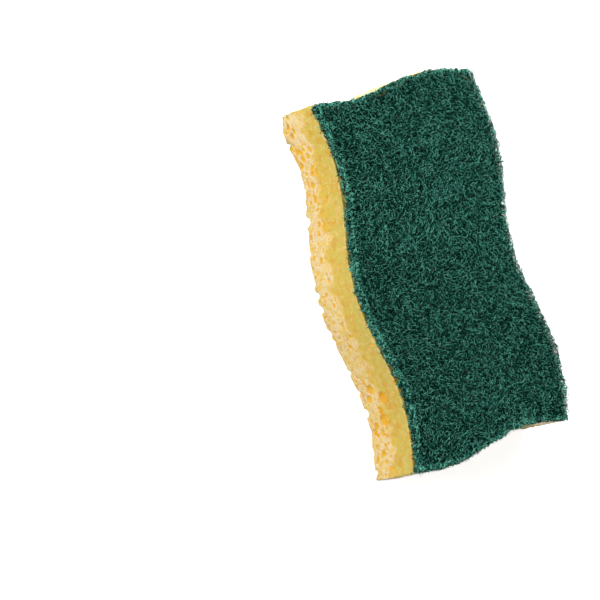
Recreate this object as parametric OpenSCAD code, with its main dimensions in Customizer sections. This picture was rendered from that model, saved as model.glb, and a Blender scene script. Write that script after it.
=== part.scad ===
// Cleaning sponge: a die-cut block of cellulose sponge with a non-woven scouring pad bonded on top.
// It lies pad up. The origin is the centre of the underside, +X runs along the length, +Z points up.
// Both layers share one outline, in which each edge is a wave and opposite edges run parallel.

/* [Outline] */
// Distance between the two corners of a long edge
edge_length = 130; // [100:1:160]
// Distance between the two corners of a short edge
edge_width = 77.4; // [60:0.2:95]
// Height of the three waves along a long edge
long_wave = 3.8; // [0:0.1:5]
// How far the middle of a long edge stands off the line between its corners
long_bow = 0.8; // [0:0.1:3]
// Height of the two waves along a short edge
short_wave = 2.4; // [0:0.1:4]
// How far the middle of a short edge stands off the line between its corners
short_bow = 1.2; // [0:0.1:3]

/* [Layers] */
// Thickness of the cellulose block
block_thickness = 20; // [12:0.1:30]
// Thickness of the scouring pad without its tufts
pad_thickness = 3; // [2:0.1:8]
// How far the edge of the pad stays inside the edge of the block
pad_setback = 0.3; // [0:0.05:1]

/* [Pores] */
// Height of the band of open pores, up from the underside
pore_band = 10; // [5:0.5:12]
// Radius of the smallest open pore
pore_min = 0.7; // [0.4:0.05:0.9]
// Radius of the largest open pore
pore_max = 1.9; // [1:0.05:2.2]
// Distance between the open pores along and up an edge
edge_pitch = 5.6; // [4.4:0.1:8]
// Distance between the open pores on the underside
base_pitch = 10.5; // [8:0.5:12]

/* [Scouring web] */
// Distance between the tufts of the web
tuft_pitch = 2.7; // [2.2:0.1:4]
// Height of the tufts
tuft_height = 0.5; // [0.1:0.05:0.9]
// Height of the broad swells of the web
swell_height = 0.15; // [0:0.05:0.4]
// How far the cut fibres at the edge of the pad stand out or in
fray = 0.25; // [0:0.05:0.3]

/* [Hidden] */

// Length of one flat step of a wavy wall, short enough to read as a curve
wall_step = 4;
// Shares of its radius by which a pore is drawn out, from the roundest to the longest
pore_stretch = [0.35, 1.3];
// Corners of a pore's cross-section
pore_sides = 5;
// Radius of a pore's narrow end as a share of its wide end
pore_taper = 0.7;
// Largest slope of a pore along an edge, in degrees
pore_tilt = 30;
// Share of its cell in which a pore or a tuft is placed at random
jitter = 0.8;
// Swells of the web along its length and its width
swells = [3.1, 2.2];
pore_seed = 17;
base_seed = 37;
web_seed = 5;

wall_steps = [ceil(edge_length / wall_step), ceil(edge_width / wall_step)];
web_steps = [ceil(edge_length / tuft_pitch), ceil(edge_width / tuft_pitch)];

// Wave of a long edge at the share u of its length, and of a short edge at the share v of its width
function long_edge(u) = long_bow * sin(180 * u) + long_wave * sin(540 * u);
function short_edge(v) = short_wave * sin(360 * v) - short_bow * sin(180 * v);

// Middle of the two extremes of a wave, which puts the origin at the centre of the outline's box
function middle(values) = (min(values) + max(values)) / 2;
centre = [
  middle([for (j = [0 : wall_steps.y]) short_edge(j / wall_steps.y)]),
  middle([for (i = [0 : wall_steps.x]) long_edge(i / wall_steps.x)])
];

// Point of a layer at the shares u and v of its length and width, with its edges moved in by the setback
function sheet(u, v, setback = 0) = [
  (edge_length - 2 * setback) * (u - 0.5) + short_edge(v) - centre.x,
  (edge_width - 2 * setback) * (v - 0.5) + long_edge(u) - centre.y
];

// Point at the share s of edge 0 to 3, which follow each other anticlockwise from the front long edge
function rim(edge, s, setback = 0) =
  edge == 0 ? sheet(s, 0, setback) :
  edge == 1 ? sheet(1, s, setback) :
  edge == 2 ? sheet(1 - s, 1, setback) :
              sheet(0, 1 - s, setback);

function heading(edge, s) = let (d = rim(edge, s + 0.01) - rim(edge, s - 0.01)) d / norm(d);
function edge_span(edge) = edge % 2 == 0 ? edge_length : edge_width;

module outline(steps) {
  polygon([for (edge = [0 : 3]) for (i = [0 : steps[edge % 2] - 1]) rim(edge, i / steps[edge % 2])]);
}

// One open pore: a ragged bowl round a point of the surface, drawn out along its own X axis
module pore(r, stretch) {
  reach = stretch * r / 2;
  hull() {
    translate([-reach, 0, 0]) sphere(r, $fn = pore_sides);
    translate([reach, 0, 0]) rotate([0, 0, 180 / pore_sides]) sphere(pore_taper * r, $fn = pore_sides);
  }
}

function between(range, share) = range[0] + (range[1] - range[0]) * share;
function scattered(cell, random) = cell + (1 - jitter) / 2 + jitter * random;

// Open pores in loose rows along the four edges, from the underside up to the band's height
module edge_pores() {
  rows = floor(pore_band / edge_pitch) + 1;
  for (edge = [0 : 3]) {
    columns = floor(edge_span(edge) / edge_pitch);
    random = rands(0, 1, rows * columns * 5, pore_seed + edge);
    for (row = [0 : rows - 1]) for (column = [0 : columns - 1]) {
      k = (row * columns + column) * 5;
      s = scattered(column, random[k]) / columns;
      along = heading(edge, s);
      translate([rim(edge, s).x, rim(edge, s).y, (row + jitter * random[k + 1]) * pore_band / rows])
        rotate([0, 0, atan2(along.y, along.x) + (random[k + 4] < 0.5 ? 180 : 0)])
          rotate([90, between([-pore_tilt, pore_tilt], random[k + 4]), 0])
            pore(between([pore_min, pore_max], pow(random[k + 2], 2)), between(pore_stretch, random[k + 3]));
    }
  }
}

// Open pores all over the underside
module base_pores() {
  count = [floor(edge_length / base_pitch), floor(edge_width / base_pitch)];
  random = rands(0, 1, count.x * count.y * 5, base_seed);
  for (i = [0 : count.x - 1]) for (j = [0 : count.y - 1]) {
    k = (i * count.y + j) * 5;
    place = sheet(scattered(i, random[k]) / count.x, scattered(j, random[k + 1]) / count.y);
    translate([place.x, place.y, 0])
      rotate([0, 0, 360 * random[k + 4]])
        pore(between([pore_min, pore_max], pow(random[k + 2], 2)), between(pore_stretch, random[k + 3]));
  }
}

// The cellulose block, one piece: dense under the pad and open-pored towards the underside
module sponge_block() {
  color("#f2d16b")
    difference() {
      linear_extrude(block_thickness) outline(wall_steps);
      edge_pores();
      base_pores();
    }
}

// Height of the web's top at one knot of its grid: a random tuft on broad swells
function web_top(u, v, random) =
  pad_thickness + tuft_height * random
  + swell_height * (1 + sin(360 * swells.x * u + 180 * v) * cos(360 * swells.y * v - 180 * u));

// The scouring pad: a grid of tufts over a flat bonded face, with a frayed edge
module scouring_pad() {
  nx = web_steps.x;
  ny = web_steps.y;
  knots = (nx + 1) * (ny + 1);
  tuft = rands(0, 1, knots, web_seed);
  stray = rands(-1, 1, knots, web_seed + 1);
  plan = [for (i = [0 : nx]) for (j = [0 : ny])
    let (at_edge = i == 0 || i == nx || j == 0 || j == ny)
    sheet(i / nx, j / ny, pad_setback + (at_edge ? fray * stray[i * (ny + 1) + j] : 0))];
  top = [for (i = [0 : nx]) for (j = [0 : ny])
    let (k = i * (ny + 1) + j)
    [plan[k].x, plan[k].y, web_top(i / nx, j / ny, tuft[k])]];
  // Knots along the edge, anticlockwise as seen from above
  edge = concat(
    [for (i = [0 : nx - 1]) i * (ny + 1)],
    [for (j = [0 : ny - 1]) nx * (ny + 1) + j],
    [for (i = [nx : -1 : 1]) i * (ny + 1) + ny],
    [for (j = [ny : -1 : 1]) j]
  );
  n = len(edge);
  base = [for (k = edge) [plan[k].x, plan[k].y, 0]];
  hub = knots + n;
  // Faces are listed clockwise as seen from outside
  web = [for (i = [0 : nx - 1]) for (j = [0 : ny - 1])
    let (a = i * (ny + 1) + j, b = a + ny + 1)
    each (i + j) % 2 == 0 ? [[a, a + 1, b + 1], [a, b + 1, b]] : [[a, a + 1, b], [a + 1, b + 1, b]]];
  wall_and_base = [for (k = [0 : n - 1])
    let (next = (k + 1) % n)
    each [[edge[k], edge[next], knots + next], [edge[k], knots + next, knots + k], [knots + k, knots + next, hub]]];
  color("#1f5c4a")
    translate([0, 0, block_thickness])
      polyhedron(concat(top, base, [[0, 0, 0]]), concat(web, wall_and_base));
}

sponge_block();
scouring_pad();
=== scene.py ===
"""Looks of a cleaning sponge: a porous cellulose block under a web of curly scouring fibres.

The sponge lies on its underside, pad up. Every length here is in metres and every shape is worked out
from the boxes of the two solids in the frame, block and pad, and from the waves of their shared outline.
"""

import itertools
import logging
import math
from collections.abc import Iterator
from dataclasses import dataclass
from enum import Enum

import bpy
import numpy as np
from mathutils import Matrix, Vector


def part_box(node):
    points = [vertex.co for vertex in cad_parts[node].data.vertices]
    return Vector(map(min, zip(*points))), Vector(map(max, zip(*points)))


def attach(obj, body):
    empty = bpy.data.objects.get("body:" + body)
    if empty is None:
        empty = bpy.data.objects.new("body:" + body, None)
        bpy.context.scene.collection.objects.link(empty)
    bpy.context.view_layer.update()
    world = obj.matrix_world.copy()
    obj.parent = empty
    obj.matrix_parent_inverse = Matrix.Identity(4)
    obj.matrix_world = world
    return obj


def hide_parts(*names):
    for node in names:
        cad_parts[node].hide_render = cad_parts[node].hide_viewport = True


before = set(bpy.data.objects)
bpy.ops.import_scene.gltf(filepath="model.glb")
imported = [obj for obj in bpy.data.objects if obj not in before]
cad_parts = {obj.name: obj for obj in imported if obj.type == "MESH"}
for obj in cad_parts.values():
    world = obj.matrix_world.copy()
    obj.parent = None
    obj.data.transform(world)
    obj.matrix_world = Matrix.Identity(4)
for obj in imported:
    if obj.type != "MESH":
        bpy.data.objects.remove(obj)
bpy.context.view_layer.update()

MM = 0.001
BODY = "root"
LOG = logging.getLogger("sponge")
Socket = bpy.types.NodeSocket

# Shares of an edge at which the extremes of its wave are looked for
SHARES = np.linspace(0, 1, 241)
# Angles, from straight down, of the rows that round the block's bottom edge
ROUND_ANGLES = np.radians([0, 24, 48, 70])
# Power on an even random share that makes the small bubbles the commoner
SMALL_POWER = 1.8
# A random bubble's centre lies at least this share of the sum of both reaches from a placed one's
APART = 0.75
# Wavelengths of the curvature along a strand, each with its weight
CURL_WAVES = ((2.8 * MM, 0.8), (5.5 * MM, 0.9), (13 * MM, 0.5))
# Large odd numbers and bit masks that turn a knot of the noise's lattice into random-looking bits
KNOT_FACTORS = (374761393, 668265263, 1274126177)
SEED_FACTOR = 974634777
MIX_FACTOR = 1103515245
LOW_31_BITS = 0x7FFFFFFF
LOW_16_BITS = 0xFFFF
# Numbers of the colour sockets of a Mix node: two go in and one comes out
MIX_FIRST, MIX_SECOND, MIX_RESULT = 6, 7, 2


class Layer(Enum):
    """The two solids of the frame, by the names of their nodes."""

    BLOCK = "sponge_block"
    PAD = "scouring_pad"


class Slot(Enum):
    """The material slots of the record."""

    CELLULOSE = "cellulose"
    WEB = "scouring_web"


def linear(colour: str, alpha: float = 1.0) -> tuple[float, float, float, float]:
    """Turns an sRGB colour such as "#F2D16B" into linear red, green, blue and alpha.

    Args:
        colour: the colour as a hash sign and six hex digits.
        alpha: the opacity that goes with it.

    Returns:
        The four numbers that a colour socket takes.
    """
    parts = [int(colour[i:i + 2], 16) / 255 for i in (1, 3, 5)]
    red, green, blue = (c / 12.92 if c <= 0.04045 else ((c + 0.055) / 1.055) ** 2.4 for c in parts)
    return red, green, blue, alpha


def lattice_noise(points: np.ndarray, cell: float, seed: int) -> np.ndarray:
    """Smooth random field from -1 to 1: hashed values at the lattice's corners, blended by a smoothstep.

    Args:
        points: places, one row of three coordinates each.
        cell: size of one cell of the lattice.
        seed: picks one of many such fields.

    Returns:
        One value for each place.
    """
    scaled = points / cell
    base = np.floor(scaled).astype(np.int64)
    share = scaled - base
    share = share * share * (3 - 2 * share)
    total = np.zeros(len(points))
    for corner in itertools.product((0, 1), repeat=3):
        knot = (base + corner) * KNOT_FACTORS
        mixed = (knot.sum(1) + seed * SEED_FACTOR) & LOW_31_BITS
        mixed = ((mixed ^ (mixed >> 13)) * MIX_FACTOR) & LOW_31_BITS
        value = ((mixed ^ (mixed >> 16)) & LOW_16_BITS) / (LOW_16_BITS // 2) - 1
        total += value * np.where(corner, share, 1 - share).prod(1)
    return total


def plan_noise(plan: np.ndarray, cell: float, seed: int) -> np.ndarray:
    """The same random field at height 0.

    Args:
        plan: places, with x and y along the last axis.
        cell: size of one cell of the lattice.
        seed: picks one of many such fields.

    Returns:
        One value for each place.
    """
    flat = np.concatenate([plan.reshape(-1, 2), np.zeros((plan.size // 2, 1))], 1)
    return lattice_noise(flat, cell, seed).reshape(plan.shape[:-1])


def unit(vectors: np.ndarray) -> np.ndarray:
    """Each vector along the last axis, divided by its length."""
    return vectors / np.maximum(np.linalg.norm(vectors, axis=-1, keepdims=True), 1e-12)


def make_piece(name: str, points: np.ndarray, face_sets: list[np.ndarray],
               **values: np.ndarray) -> bpy.types.Object:
    """Makes an object of its own from vertices and faces, with one point attribute for each named value.

    Args:
        name: name of the object and its mesh.
        points: vertices, one row each.
        face_sets: arrays of vertex indices, each with one row a face.
        values: arrays of one number a vertex, by the attribute's name.

    Returns:
        The object, linked to the scene, at the origin.
    """
    mesh = bpy.data.meshes.new(name)
    corners = np.concatenate([faces.ravel() for faces in face_sets])
    sizes = np.concatenate([np.full(len(faces), faces.shape[1]) for faces in face_sets])
    mesh.vertices.add(len(points))
    mesh.vertices.foreach_set("co", points.astype(np.float32).ravel())
    mesh.loops.add(len(corners))
    mesh.loops.foreach_set("vertex_index", corners.astype(np.int32))
    mesh.polygons.add(len(sizes))
    mesh.polygons.foreach_set("loop_start", (np.cumsum(sizes) - sizes).astype(np.int32))
    mesh.polygons.foreach_set("use_smooth", np.ones(len(sizes), bool))
    mesh.update(calc_edges=True)
    for key, numbers in values.items():
        attribute = mesh.attributes.new(key, "FLOAT", "POINT")
        attribute.data.foreach_set("value", numbers.astype(np.float32).ravel())
    mesh.validate()
    piece = bpy.data.objects.new(name, mesh)
    bpy.context.scene.collection.objects.link(piece)
    return piece


def finish_piece(piece: bpy.types.Object, material: bpy.types.Material, layer: Layer) -> None:
    """Dresses a piece, lets it ride on the one body, hides the solid that it replaces and logs its triangles.

    Args:
        piece: the piece, whose mesh is whole.
        material: its finish.
        layer: the solid that it replaces.
    """
    piece.data.materials.append(material)
    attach(piece, BODY)
    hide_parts(layer.value)
    triangles = sum(len(face.vertices) - 2 for face in piece.data.polygons)
    LOG.info("%s: %d triangles", piece.name, triangles)


@dataclass(frozen=True)
class Outline:
    """The die-cut outline that both layers share, as a unit square bent by two waves.

    A place at the shares u of the length and v of the width lies at x = length (u - 1/2) + short_edge(v) and
    y = width (v - 1/2) + long_edge(u), so opposite edges are parallel and the four corners stay sharp.
    """

    reach_x: float
    reach_y: float
    long_wave: float = 3.8 * MM
    long_bow: float = 0.8 * MM
    short_wave: float = 2.4 * MM
    short_bow: float = 1.2 * MM

    def long_edge(self, u: np.ndarray) -> np.ndarray:
        """Wave of a long edge: half a sine for the bow and three half sines for the waves."""
        return self.long_bow * np.sin(np.pi * u) + self.long_wave * np.sin(3 * np.pi * u)

    def short_edge(self, v: np.ndarray) -> np.ndarray:
        """Wave of a short edge: one full sine less half a sine for the bow."""
        return self.short_wave * np.sin(2 * np.pi * v) - self.short_bow * np.sin(np.pi * v)

    @property
    def middle(self) -> np.ndarray:
        """Middle of the extremes of the two waves, in x and y, which the origin is shifted by."""
        waves = (self.short_edge(SHARES), self.long_edge(SHARES))
        return np.array([(wave.min() + wave.max()) / 2 for wave in waves])

    @property
    def length(self) -> float:
        """Distance between the corners of a long edge."""
        return self.reach_x - float(np.ptp(self.short_edge(SHARES)))

    @property
    def width(self) -> float:
        """Distance between the corners of a short edge."""
        return self.reach_y - float(np.ptp(self.long_edge(SHARES)))

    def sheet(self, u: np.ndarray, v: np.ndarray, setback: np.ndarray | float = 0.0) -> np.ndarray:
        """Places in plan at the shares u and v, with the edges moved in by the setback.

        Args:
            u: shares of the length.
            v: shares of the width.
            setback: how far the edges lie inside the outline.

        Returns:
            x and y along the last axis.
        """
        x = (self.length - 2 * setback) * (u - 0.5) + self.short_edge(v) - self.middle[0]
        y = (self.width - 2 * setback) * (v - 0.5) + self.long_edge(u) - self.middle[1]
        return np.stack([x, y], -1)

    def around(self, walked: np.ndarray) -> tuple[np.ndarray, np.ndarray]:
        """Finds the places that walks round the edge lead to.

        Args:
            walked: lengths of the walks, anticlockwise from the first corner.

        Returns:
            Their shares u and v.
        """
        stops = np.cumsum([0, self.length, self.width, self.length, self.width])
        along = walked % stops[-1]
        return np.interp(along, stops, [0, 1, 1, 0, 0]), np.interp(along, stops, [0, 0, 1, 1, 0])

    def stand(self, walked: np.ndarray, half: float) -> tuple[np.ndarray, np.ndarray, np.ndarray]:
        """Finds places on the edge with the way on and the way out, from two points close by on either side.

        Args:
            walked: lengths of the walks round the edge, one for each place.
            half: half the distance between the two points.

        Returns:
            The places, and the unit vectors along the edge and out of it, all in plan.
        """
        before, after = (self.sheet(*self.around(walked + side * half)) for side in (-1, 1))
        ahead = unit(after - before)
        return (before + after) / 2, ahead, np.column_stack([ahead[:, 1], -ahead[:, 0]])

    def girth(self) -> float:
        """Length of the walk round the edge."""
        return 2 * (self.length + self.width)


@dataclass(frozen=True)
class SlabGrid:
    """Closed surface of one layer: wall rows, a fine grid on its open face and a fan on its hidden face.

    The rows run from the open face to the hidden one, each with its own setback and height.
    """

    outline: Outline
    cell: float
    setbacks: np.ndarray
    heights: np.ndarray

    @property
    def counts(self) -> tuple[int, int]:
        """Cells along the length and the width."""
        return round(self.outline.length / self.cell), round(self.outline.width / self.cell)

    def rim_shares(self) -> tuple[np.ndarray, np.ndarray]:
        """Works out where the wall's columns stand.

        Returns:
            Their shares u and v, anticlockwise from the first corner.
        """
        nx, ny = self.counts
        i, j = np.arange(nx) / nx, np.arange(ny) / ny
        u = np.concatenate([i, np.ones(ny), 1 - i, np.zeros(ny)])
        v = np.concatenate([np.zeros(nx), j, np.ones(nx), 1 - j])
        return u, v

    def surface(self) -> tuple[np.ndarray, np.ndarray, list[np.ndarray], int]:
        """Works out the surface.

        Returns:
            The vertices, the outward direction in plan of each wall column, the faces, and how many of the
            vertices belong to the wall: the open face's inner ones and the hub of the fan come after them.
        """
        nx, ny = self.counts
        u, v = self.rim_shares()
        columns, rows = len(u), len(self.heights)
        ring = self.outline.sheet(u[None], v[None], self.setbacks[:, None])
        # A short running average round the ring rounds the four corners as a blade leaves them
        weights = (1, 2, 3, 2, 1)
        ring = sum(w * np.roll(ring, k - 2, 1) for k, w in enumerate(weights)) / sum(weights)
        along = unit(np.roll(ring[-1], -1, 0) - np.roll(ring[-1], 1, 0))
        outward = np.stack([along[:, 1], -along[:, 0]], -1)
        wall = np.concatenate([ring, np.broadcast_to(self.heights[:, None, None], (rows, columns, 1))], -1)
        gi, gj = np.meshgrid(np.arange(1, nx) / nx, np.arange(1, ny) / ny, indexing="ij")
        inner = self.outline.sheet(gi.ravel(), gj.ravel(), self.setbacks[0])
        inner = np.column_stack([inner, np.full(len(inner), self.heights[0])])
        hub = np.array([[0, 0, self.heights[-1]]])
        points = np.concatenate([wall.reshape(-1, 3), inner, hub])
        faces = self.faces(nx, ny, columns, rows)
        return points, outward, faces, rows * columns

    def faces(self, nx: int, ny: int, columns: int, rows: int) -> list[np.ndarray]:
        """Joins the vertices up: quads for the wall and the open face, and triangles for the fan.

        Args:
            nx: cells along the length.
            ny: cells along the width.
            columns: columns of the wall.
            rows: rows of the wall.

        Returns:
            The three sets of faces, all facing outwards.
        """
        c = np.arange(columns)
        after = (c + 1) % columns
        k = np.arange(rows - 1)[:, None] * columns
        wall = np.stack([k + c, k + after, k + columns + after, k + columns + c], -1).reshape(-1, 4)
        grid = np.empty((nx + 1, ny + 1), int)
        grid[1:nx, 1:ny] = rows * columns + np.arange((nx - 1) * (ny - 1)).reshape(nx - 1, ny - 1)
        i, j = np.arange(nx), np.arange(ny)
        grid[i, 0] = i
        grid[nx, j] = nx + j
        grid[nx - i, ny] = nx + ny + i
        grid[0, ny - j] = 2 * nx + ny + j
        corners = [grid[:-1, :-1], grid[:-1, 1:], grid[1:, 1:], grid[1:, :-1]]
        face = np.stack(corners, -1).reshape(-1, 4)
        last = (rows - 1) * columns
        hub = rows * columns + (nx - 1) * (ny - 1)
        fan = np.stack([last + c, last + after, np.full(columns, hub)], -1)
        faces = [wall, face, fan]
        return faces if self.heights[-1] > self.heights[0] else [f[:, ::-1] for f in faces]


@dataclass
class Bubbles:
    """Ellipsoid bubbles of the foam. The knife cut some open, and what it cut shows as pores.

    Each has a centre and a matrix that turns a vector from its centre into bubble space, where the
    bubble is the unit ball: its rows are the three axes, each divided by the radius along it.
    """

    centres: np.ndarray
    matrices: np.ndarray
    reaches: np.ndarray

    @staticmethod
    def lying(centres: np.ndarray, heading: np.ndarray, radii: np.ndarray) -> "Bubbles":
        """Bubbles with one axis along a heading in plan, one across it and one upright.

        Args:
            centres: their centres.
            heading: a unit vector in plan for each.
            radii: the radii along the heading, across it and upright.

        Returns:
            The bubbles.
        """
        level, upright = np.zeros(len(centres)), np.ones(len(centres))
        ahead = np.column_stack([heading, level])
        across = np.column_stack([heading[:, 1], -heading[:, 0], level])
        up = np.column_stack([level, level, upright])
        matrices = np.stack([ahead, across, up], 1) / radii[:, :, None]
        return Bubbles(centres, matrices, radii.max(1))

    @staticmethod
    def joined(groups: list["Bubbles"]) -> "Bubbles":
        """All the bubbles of several groups."""
        keys = ("centres", "matrices", "reaches")
        return Bubbles(*(np.concatenate([getattr(group, key) for group in groups]) for key in keys))

    def kept(self, chosen: np.ndarray) -> "Bubbles":
        """Only the chosen ones of the bubbles."""
        return Bubbles(self.centres[chosen], self.matrices[chosen], self.reaches[chosen])

    def clear_of(self, others: "Bubbles") -> "Bubbles":
        """Those of the bubbles that keep a thin wall between themselves and all the others."""
        gap = np.linalg.norm(self.centres[:, None] - others.centres[None], axis=2)
        return self.kept((gap > APART * (self.reaches[:, None] + others.reaches[None])).all(1))

    def near(self, points: np.ndarray, margin: float) -> Iterator[tuple[np.ndarray, ...]]:
        """Goes through the bubbles that have points in them or near them.

        Args:
            points: vertices.
            margin: how far outside a bubble's reach a point may lie.

        Yields:
            The indices of the bubble's points, their places in bubble space and the bubble's matrix.
        """
        for centre, matrix, reach in zip(self.centres, self.matrices, self.reaches):
            found = np.flatnonzero((np.abs(points - centre) < reach + margin).all(1))
            if len(found):
                yield found, (points[found] - centre) @ matrix.T, matrix

    def snap_rims(self, points: np.ndarray, normals: np.ndarray,
                  limit: float) -> tuple[np.ndarray, np.ndarray]:
        """Slides the vertices next to a bubble's rim along the surface until they lie on the rim.

        A vertex p moves by -(|q| - 1) g / |g|^2, where q is p in bubble space and g is the slope of |q| at p
        with its part along the normal taken out. Only moves shorter than the limit are made, one a vertex.

        Args:
            points: vertices on the uncut surface.
            normals: unit normals there.
            limit: the longest move.

        Returns:
            The moved vertices, and how close each is to a rim, from 0 to 1.
        """
        moved, crest, free = points.copy(), np.zeros(len(points)), np.ones(len(points), bool)
        for found, q, matrix in self.near(points, limit):
            size = np.linalg.norm(q, axis=1)
            slope = (q / size[:, None]) @ matrix
            slope -= (slope * normals[found]).sum(1, keepdims=True) * normals[found]
            steep = (slope ** 2).sum(1)
            move = -((size - 1) / np.maximum(steep, 1e-6))[:, None] * slope
            gap = np.linalg.norm(move, axis=1)
            # Only what lies on the rim or outside it counts as crest
            crest[found] = np.maximum(crest[found], np.exp(-(gap / limit) ** 2) * (size > 0.98))
            take = (gap < limit) & free[found]
            moved[found[take]] += move[take]
            free[found[take]] = False
        return moved, crest

    def carve(self, points: np.ndarray, inward: np.ndarray, deepest: float) -> np.ndarray:
        """Works out how deep each vertex sinks: from inside a bubble, along its inward line, to the far wall.

        The exit is the larger root of |q + t m| = 1, with q and m the place and the line in bubble space. A
        second pass lets a vertex go on into the next bubble where two run together.

        Args:
            points: vertices on the uncut surface.
            inward: unit directions in which they sink.
            deepest: the most that any vertex sinks.

        Returns:
            One depth for each vertex.
        """
        depth = np.zeros(len(points))
        for _ in range(2):
            push = np.zeros(len(points))
            here = points + depth[:, None] * inward
            for found, q, matrix in self.near(here, 0.0):
                m = inward[found] @ matrix.T
                a, b, c = (m * m).sum(1), (q * m).sum(1), (q * q).sum(1) - 1
                out = (-b + np.sqrt(np.maximum(b * b - a * c, 0))) / a
                # A vertex on the rim, where c is about 0, stays put
                push[found] = np.maximum(push[found], np.where(c < -0.01, out, 0))
            depth += push
        return np.minimum(depth, deepest)


# Pores and nicks of the front wall that stand out from a step away: place along the edge, height and radius
# in millimetres, and how far each is drawn out along the edge. Those at height 0 break the bottom edge.
FRONT_PORES = (
    (1, 8, 1.2, 1.2), (6.5, 7, 0.8, 1.8), (8, 5, 1.1, 1.2), (13.5, 7.5, 0.9, 1.1), (14, 10.5, 1.1, 1.4),
    (16.5, 5.5, 1.3, 1), (18.5, 3.5, 1.4, 1), (22.5, 9.5, 0.9, 1), (26, 6.5, 1.3, 1), (27.5, 10, 0.8, 1.3),
    (31, 6, 1.2, 1), (31.5, 3.7, 0.7, 1.5), (32, 12, 0.9, 1.3), (33.5, 9.5, 0.8, 1), (37.5, 0, 2.4, 0.8),
    (39.5, 6.5, 1.1, 1.1), (40.5, 11.5, 1, 1), (42.5, 6, 0.9, 1.4), (43, 1.5, 1.1, 1), (47, 1.7, 0.9, 0.8),
    (48.5, 7.5, 0.6, 2), (55.5, 3.5, 0.7, 1.6), (59, 8.5, 0.9, 1.3), (63, 0, 1.9, 0.8), (63.5, 5.5, 0.9, 1.2),
    (66, 7, 0.7, 1), (68, 0, 2, 0.8), (79, 4, 0.8, 1), (83, 7, 1, 1), (84, 17.5, 1, 1), (91.5, 0, 1.4, 0.8),
    (99, 0, 1.4, 0.8), (99, 6.5, 1.7, 1.1), (102, 4.5, 1.4, 1.1), (102.5, 11, 1.9, 1.2), (106.5, 0, 2.2, 0.8),
    (110, 8.5, 2.2, 1), (111.5, 4, 1.4, 1), (113.5, 2.5, 1.3, 1.1), (115, 4, 0.9, 1), (115.5, 8, 0.8, 1.3),
    (118.5, 2.5, 0.9, 1.2), (122.5, 9, 0.7, 1.2), (124, 6.5, 0.9, 1.3), (124.5, 3.5, 0.7, 1.5),
    (126.5, 8.5, 1.1, 1.2))


def mostly_small(rng: np.random.Generator, count: int, limits: tuple[float, float]) -> np.ndarray:
    """Random radii between two limits, the small ones the commoner."""
    return limits[0] + (limits[1] - limits[0]) * rng.random(count) ** SMALL_POWER


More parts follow.
